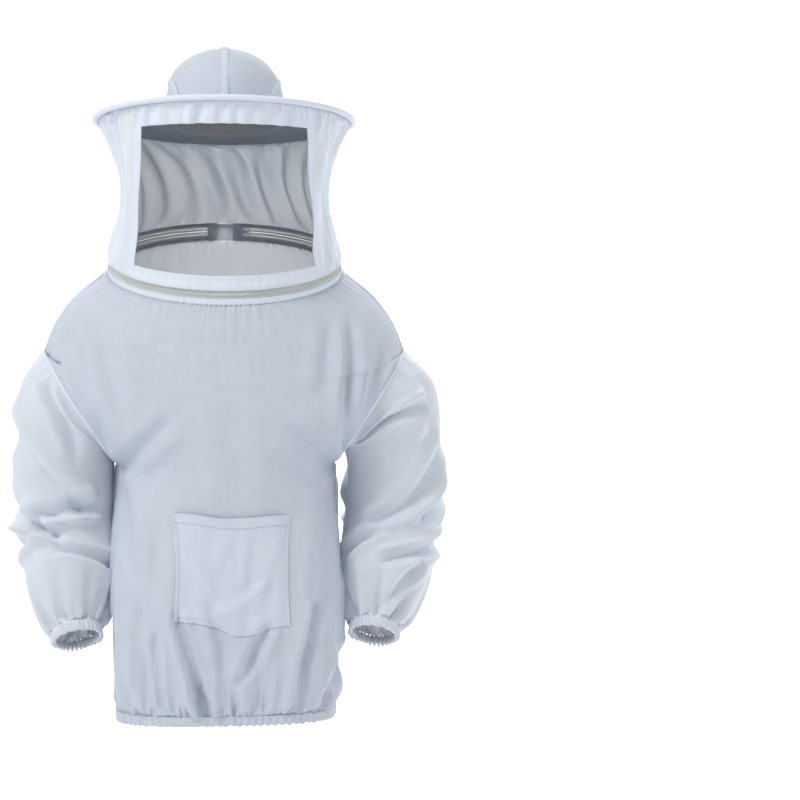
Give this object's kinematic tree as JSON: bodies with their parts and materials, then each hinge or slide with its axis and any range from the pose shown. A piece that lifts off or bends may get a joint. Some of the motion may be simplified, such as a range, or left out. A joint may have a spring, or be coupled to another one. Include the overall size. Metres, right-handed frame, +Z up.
{
  "type": "beekeeper's jacket with hat and veil",
  "caption": "Pullover cotton beekeeper's jacket with gathered cuffs and hem, a pocket, and a round stiff-brimmed hat and net veil that zip on at the neck.",
  "frame": {"origin": "centre of the circular zip at the neck, in the zip's middle plane", "axes": "+Z up, -Y the way the wearer faces, +X the wearer's left"},
  "size_m": [0.6942, 0.4462, 1.0667],
  "materials": {
    "cotton": "thin white cotton poplin with a slight cool cast, matt",
    "cotton_trim": "the same cotton in two or three layers, so whiter and closed",
    "netting": "black fine polyester net, matt, seen through",
    "zip_tape": "woven white zip tape",
    "zip_coil": "off-white nylon coil",
    "zip_metal": "cast and plated zinc",
    "elastic": "white knitted elastic",
    "hoop": "white flexible boning",
    "stiffening": "non-woven stiffening board"
  },
  "bodies": {
    "jacket": {"front_panel": "cotton", "back_panel": "cotton", "shoulder_seam_left": "cotton_trim", "shoulder_seam_right": "cotton_trim", "side_seam_left": "cotton_trim", "side_seam_right": "cotton_trim", "pocket": "cotton", "pocket_hem": "cotton_trim", "hem_casing": "cotton_trim", "hem_elastic": "elastic", "neck_binding": "cotton_trim", "zip_tape_lower": "zip_tape", "zip_coil_lower": "zip_coil", "zip_stop_lower": "zip_metal", "zip_retainer_box": "zip_metal"},
    "hood": {"crown_left": "cotton", "crown_right": "cotton", "ear_panel_left": "cotton", "ear_panel_right": "cotton", "crown_centre_tape": "cotton_trim", "sweatband": "cotton_trim", "head_elastic": "elastic", "brim_stiffener": "stiffening", "brim_upper_cover": "cotton", "brim_lower_cover": "cotton", "brim_hoop": "hoop", "brim_rim_binding": "cotton_trim", "veil_mesh_front": "netting", "window_top_band": "cotton_trim", "window_bottom_band": "cotton_trim", "window_band_left": "cotton_trim", "window_band_right": "cotton_trim", "veil_side_left": "cotton", "veil_side_right": "cotton", "veil_back": "cotton", "veil_seam_left": "cotton_trim", "veil_seam_right": "cotton_trim", "zip_tape_upper": "zip_tape", "zip_coil_upper": "zip_coil", "zip_stop_upper": "zip_metal", "zip_insert_pin": "zip_metal"},
    "slider": {"zip_slider": "zip_metal"},
    "pull": {"zip_pull": "zip_metal"},
    "sleeve_left": {"sleeve_left": "cotton", "armhole_seam_left": "cotton_trim", "cuff_casing_left": "cotton_trim", "cuff_elastic_left": "elastic"},
    "sleeve_right": {"sleeve_right": "cotton", "armhole_seam_right": "cotton_trim", "cuff_casing_right": "cotton_trim", "cuff_elastic_right": "elastic"}
  },
  "joints": [
    {"name": "hood_lift", "type": "slide", "parent": "jacket", "child": "hood", "axis": [0, -0.309, 0.9511], "range_m": [0, 0.42]},
    {"name": "slider_travel", "type": "hinge", "parent": "jacket", "child": "slider", "pos_m": [0, 0, 0], "axis": [0, -0.309, 0.9511], "range_deg": [-347.5, 0]},
    {"name": "pull_flip", "type": "hinge", "parent": "slider", "child": "pull", "pos_m": [0.01984, 0.17947, 0.05831], "axis": [0, -0.309, 0.9511], "range_deg": [0, 170]},
    {"name": "sleeve_left_raise", "type": "hinge", "parent": "jacket", "child": "sleeve_left", "pos_m": [0.286, -0.015, -0.142], "axis": [0, -1, 0], "range_deg": [0, 40]},
    {"name": "sleeve_right_raise", "type": "hinge", "parent": "jacket", "child": "sleeve_right", "pos_m": [-0.286, -0.015, -0.142], "axis": [0, 1, 0], "range_deg": [0, 40]}
  ]
}
